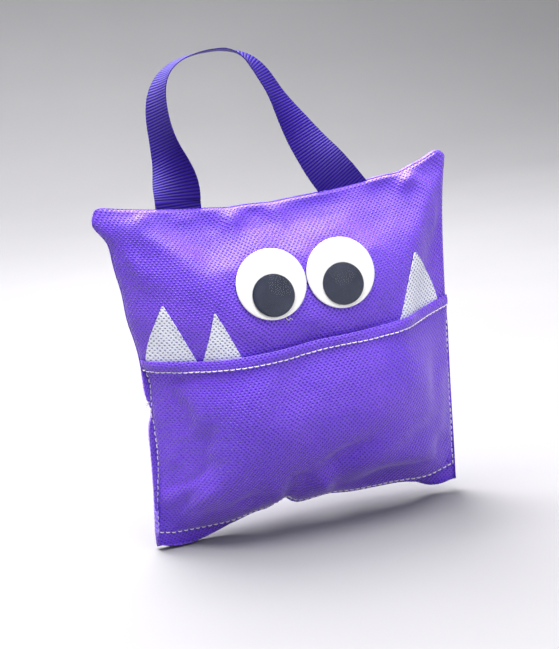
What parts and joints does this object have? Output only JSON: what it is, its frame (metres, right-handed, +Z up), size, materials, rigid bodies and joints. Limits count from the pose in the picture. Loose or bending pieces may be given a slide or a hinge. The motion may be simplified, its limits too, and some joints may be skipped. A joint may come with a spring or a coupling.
{
  "type": "plush monster pocket pillow",
  "caption": "Small stuffed monster pillow with a front pocket for its mouth, felt-like teeth, moving eyes and a ribbon loop to hang it by.",
  "frame": {"origin": "inside of the ribbon loop's top, the point that rests on the hook or knob it hangs from", "axes": "+Z up, -Y out of the face, +X to the right as you look at the face"},
  "size_m": [0.176, 0.0737, 0.236],
  "materials": {
    "purple_cloth": "dimpled non-woven cloth, matte with a faint sheen",
    "white_cloth": "dimpled non-woven cloth, matte",
    "ribbon": "ribbed grosgrain, soft sheen",
    "thread": "spun sewing thread, matte",
    "filling": "loose polyester fibre",
    "eye_white": "smooth moulded",
    "clear_plastic": "clear, polished",
    "pupil": "smooth, dark",
    "glue": "set hot glue"
  },
  "bodies": {
    "ribbon": {"ribbon_loop": "ribbon"},
    "pillow": {"ribbon_tails": "ribbon", "face_panel": "purple_cloth", "back_panel": "purple_cloth", "stuffing": "filling", "seam_allowance": "purple_cloth", "turned_seam_thread": "thread", "pocket_edge": "purple_cloth", "left_stitching": "thread", "right_stitching": "thread", "bottom_stitching": "thread", "thread_ends": "thread", "left_eye_back": "eye_white", "left_eye_dome": "clear_plastic", "left_eye_glue": "glue", "right_eye_back": "eye_white", "right_eye_dome": "clear_plastic", "right_eye_glue": "glue"},
    "pocket": {"pocket_panel": "purple_cloth", "pocket_hem": "purple_cloth", "hem_stitching": "thread", "outer_left_tooth": "white_cloth", "inner_left_tooth": "white_cloth", "right_tooth": "white_cloth"},
    "left_pupil": {"left_pupil": "pupil"},
    "right_pupil": {"right_pupil": "pupil"}
  },
  "joints": [
    {"name": "pillow_swing", "type": "hinge", "parent": "ribbon", "child": "pillow", "pos_m": [0.0142, -0.01849, -0.06912], "axis": [1, 0, 0], "range_deg": [-75, 55]},
    {"name": "pocket_open", "type": "hinge", "parent": "pillow", "child": "pocket", "pos_m": [0.0142, -0.02039, -0.22515], "axis": [1, 0, 0], "range_deg": [0, 14], "stiffness_Nm_per_rad": 0.01, "springref_deg": -11.46},
    {"name": "left_pupil_turn", "type": "hinge", "parent": "pillow", "child": "left_pupil", "pos_m": [0.00012, -0.04755, -0.10961], "axis": [-0.0304, -0.9714, 0.2355], "continuous": true},
    {"name": "right_pupil_turn", "type": "hinge", "parent": "pillow", "child": "right_pupil", "pos_m": [0.03472, -0.04738, -0.10963], "axis": [0.0448, -0.972, 0.2305], "continuous": true}
  ]
}
